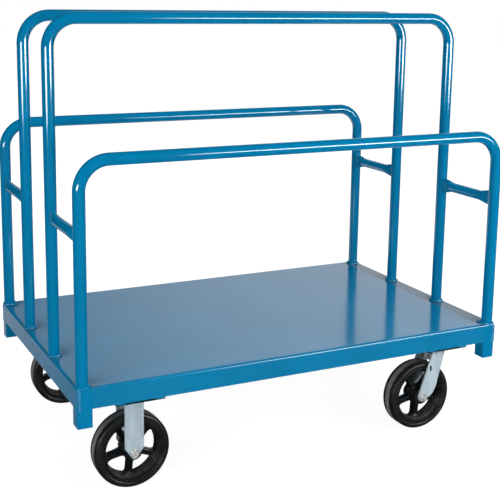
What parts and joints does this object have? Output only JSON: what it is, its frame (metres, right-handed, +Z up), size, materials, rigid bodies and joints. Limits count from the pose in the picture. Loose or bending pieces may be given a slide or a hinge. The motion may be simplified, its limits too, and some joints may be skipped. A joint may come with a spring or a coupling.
{
  "type": "sheet goods cart",
  "caption": "Steel platform cart for carrying sheets and panels on edge, with a folded deck, bent tube rails of two heights, and rigid and swivel casters.",
  "frame": {"origin": "on the floor, under the middle of the deck", "axes": "+X along the deck from the rigid casters to the swivel casters, +Y across the deck to the rear, +Z up"},
  "size_m": [1.268, 0.78, 1.2095],
  "materials": {
    "blue_paint": "gloss blue enamel over welded steel",
    "zinc_plate": "bright zinc plate",
    "bearing_steel": "greased bearing steel",
    "cast_core": "black painted casting",
    "tyre_rubber": "moulded rubber, dusty tread"
  },
  "bodies": {
    "deck": {"deck_pan": "blue_paint", "corner_leg_left_front": "blue_paint", "corner_leg_left_rear": "blue_paint", "corner_leg_right_front": "blue_paint", "corner_leg_right_rear": "blue_paint", "deck_stiffener": "blue_paint", "bolster_plate_left": "blue_paint", "bolster_plate_right": "blue_paint", "low_rail_front": "blue_paint", "tall_rail_front": "blue_paint", "tall_rail_rear": "blue_paint", "low_rail_rear": "blue_paint", "tie_tube_left_front": "blue_paint", "tie_tube_left_rear": "blue_paint", "tie_tube_right_front": "blue_paint", "tie_tube_right_rear": "blue_paint", "rigid_fork_left_front": "zinc_plate", "rigid_fork_left_rear": "zinc_plate", "swivel_plate_right_front": "zinc_plate", "swivel_plate_right_rear": "zinc_plate", "plate_bolt_left_front_left_front": "zinc_plate", "plate_bolt_left_front_left_rear": "zinc_plate", "plate_bolt_left_front_right_front": "zinc_plate", "plate_bolt_left_front_right_rear": "zinc_plate", "plate_bolt_left_rear_left_front": "zinc_plate", "plate_bolt_left_rear_left_rear": "zinc_plate", "plate_bolt_left_rear_right_front": "zinc_plate", "plate_bolt_left_rear_right_rear": "zinc_plate", "plate_bolt_right_front_left_front": "zinc_plate", "plate_bolt_right_front_left_rear": "zinc_plate", "plate_bolt_right_front_right_front": "zinc_plate", "plate_bolt_right_front_right_rear": "zinc_plate", "plate_bolt_right_rear_left_front": "zinc_plate", "plate_bolt_right_rear_left_rear": "zinc_plate", "plate_bolt_right_rear_right_front": "zinc_plate", "plate_bolt_right_rear_right_rear": "zinc_plate", "axle_bolt_left_front": "zinc_plate", "axle_nut_left_front": "zinc_plate", "axle_bolt_left_rear": "zinc_plate", "axle_nut_left_rear": "zinc_plate"},
    "swivel_front": {"swivel_fork_right_front": "zinc_plate", "ball_race_right_front": "bearing_steel", "axle_bolt_right_front": "zinc_plate", "axle_nut_right_front": "zinc_plate"},
    "swivel_rear": {"swivel_fork_right_rear": "zinc_plate", "ball_race_right_rear": "bearing_steel", "axle_bolt_right_rear": "zinc_plate", "axle_nut_right_rear": "zinc_plate"},
    "wheel_left_front": {"tyre_left_front": "tyre_rubber", "wheel_core_left_front": "cast_core", "roller_bearing_left_front": "bearing_steel"},
    "wheel_left_rear": {"tyre_left_rear": "tyre_rubber", "wheel_core_left_rear": "cast_core", "roller_bearing_left_rear": "bearing_steel"},
    "wheel_right_front": {"tyre_right_front": "tyre_rubber", "wheel_core_right_front": "cast_core", "roller_bearing_right_front": "bearing_steel"},
    "wheel_right_rear": {"tyre_right_rear": "tyre_rubber", "wheel_core_right_rear": "cast_core", "roller_bearing_right_rear": "bearing_steel"}
  },
  "joints": [
    {"name": "swivel_front_turn", "type": "hinge", "parent": "deck", "child": "swivel_front", "pos_m": [0.47, -0.303, 0.24], "axis": [0, 0, 1], "continuous": true},
    {"name": "swivel_rear_turn", "type": "hinge", "parent": "deck", "child": "swivel_rear", "pos_m": [0.47, 0.303, 0.24], "axis": [0, 0, 1], "continuous": true},
    {"name": "wheel_left_front_spin", "type": "hinge", "parent": "deck", "child": "wheel_left_front", "pos_m": [-0.47, -0.303, 0.10111], "axis": [0, 1, 0], "continuous": true},
    {"name": "wheel_left_rear_spin", "type": "hinge", "parent": "deck", "child": "wheel_left_rear", "pos_m": [-0.47, 0.303, 0.10111], "axis": [0, 1, 0], "continuous": true},
    {"name": "wheel_right_front_spin", "type": "hinge", "parent": "swivel_front", "child": "wheel_right_front", "pos_m": [0.424, -0.303, 0.10111], "axis": [0, 1, 0], "continuous": true},
    {"name": "wheel_right_rear_spin", "type": "hinge", "parent": "swivel_rear", "child": "wheel_right_rear", "pos_m": [0.424, 0.303, 0.10111], "axis": [0, 1, 0], "continuous": true}
  ]
}
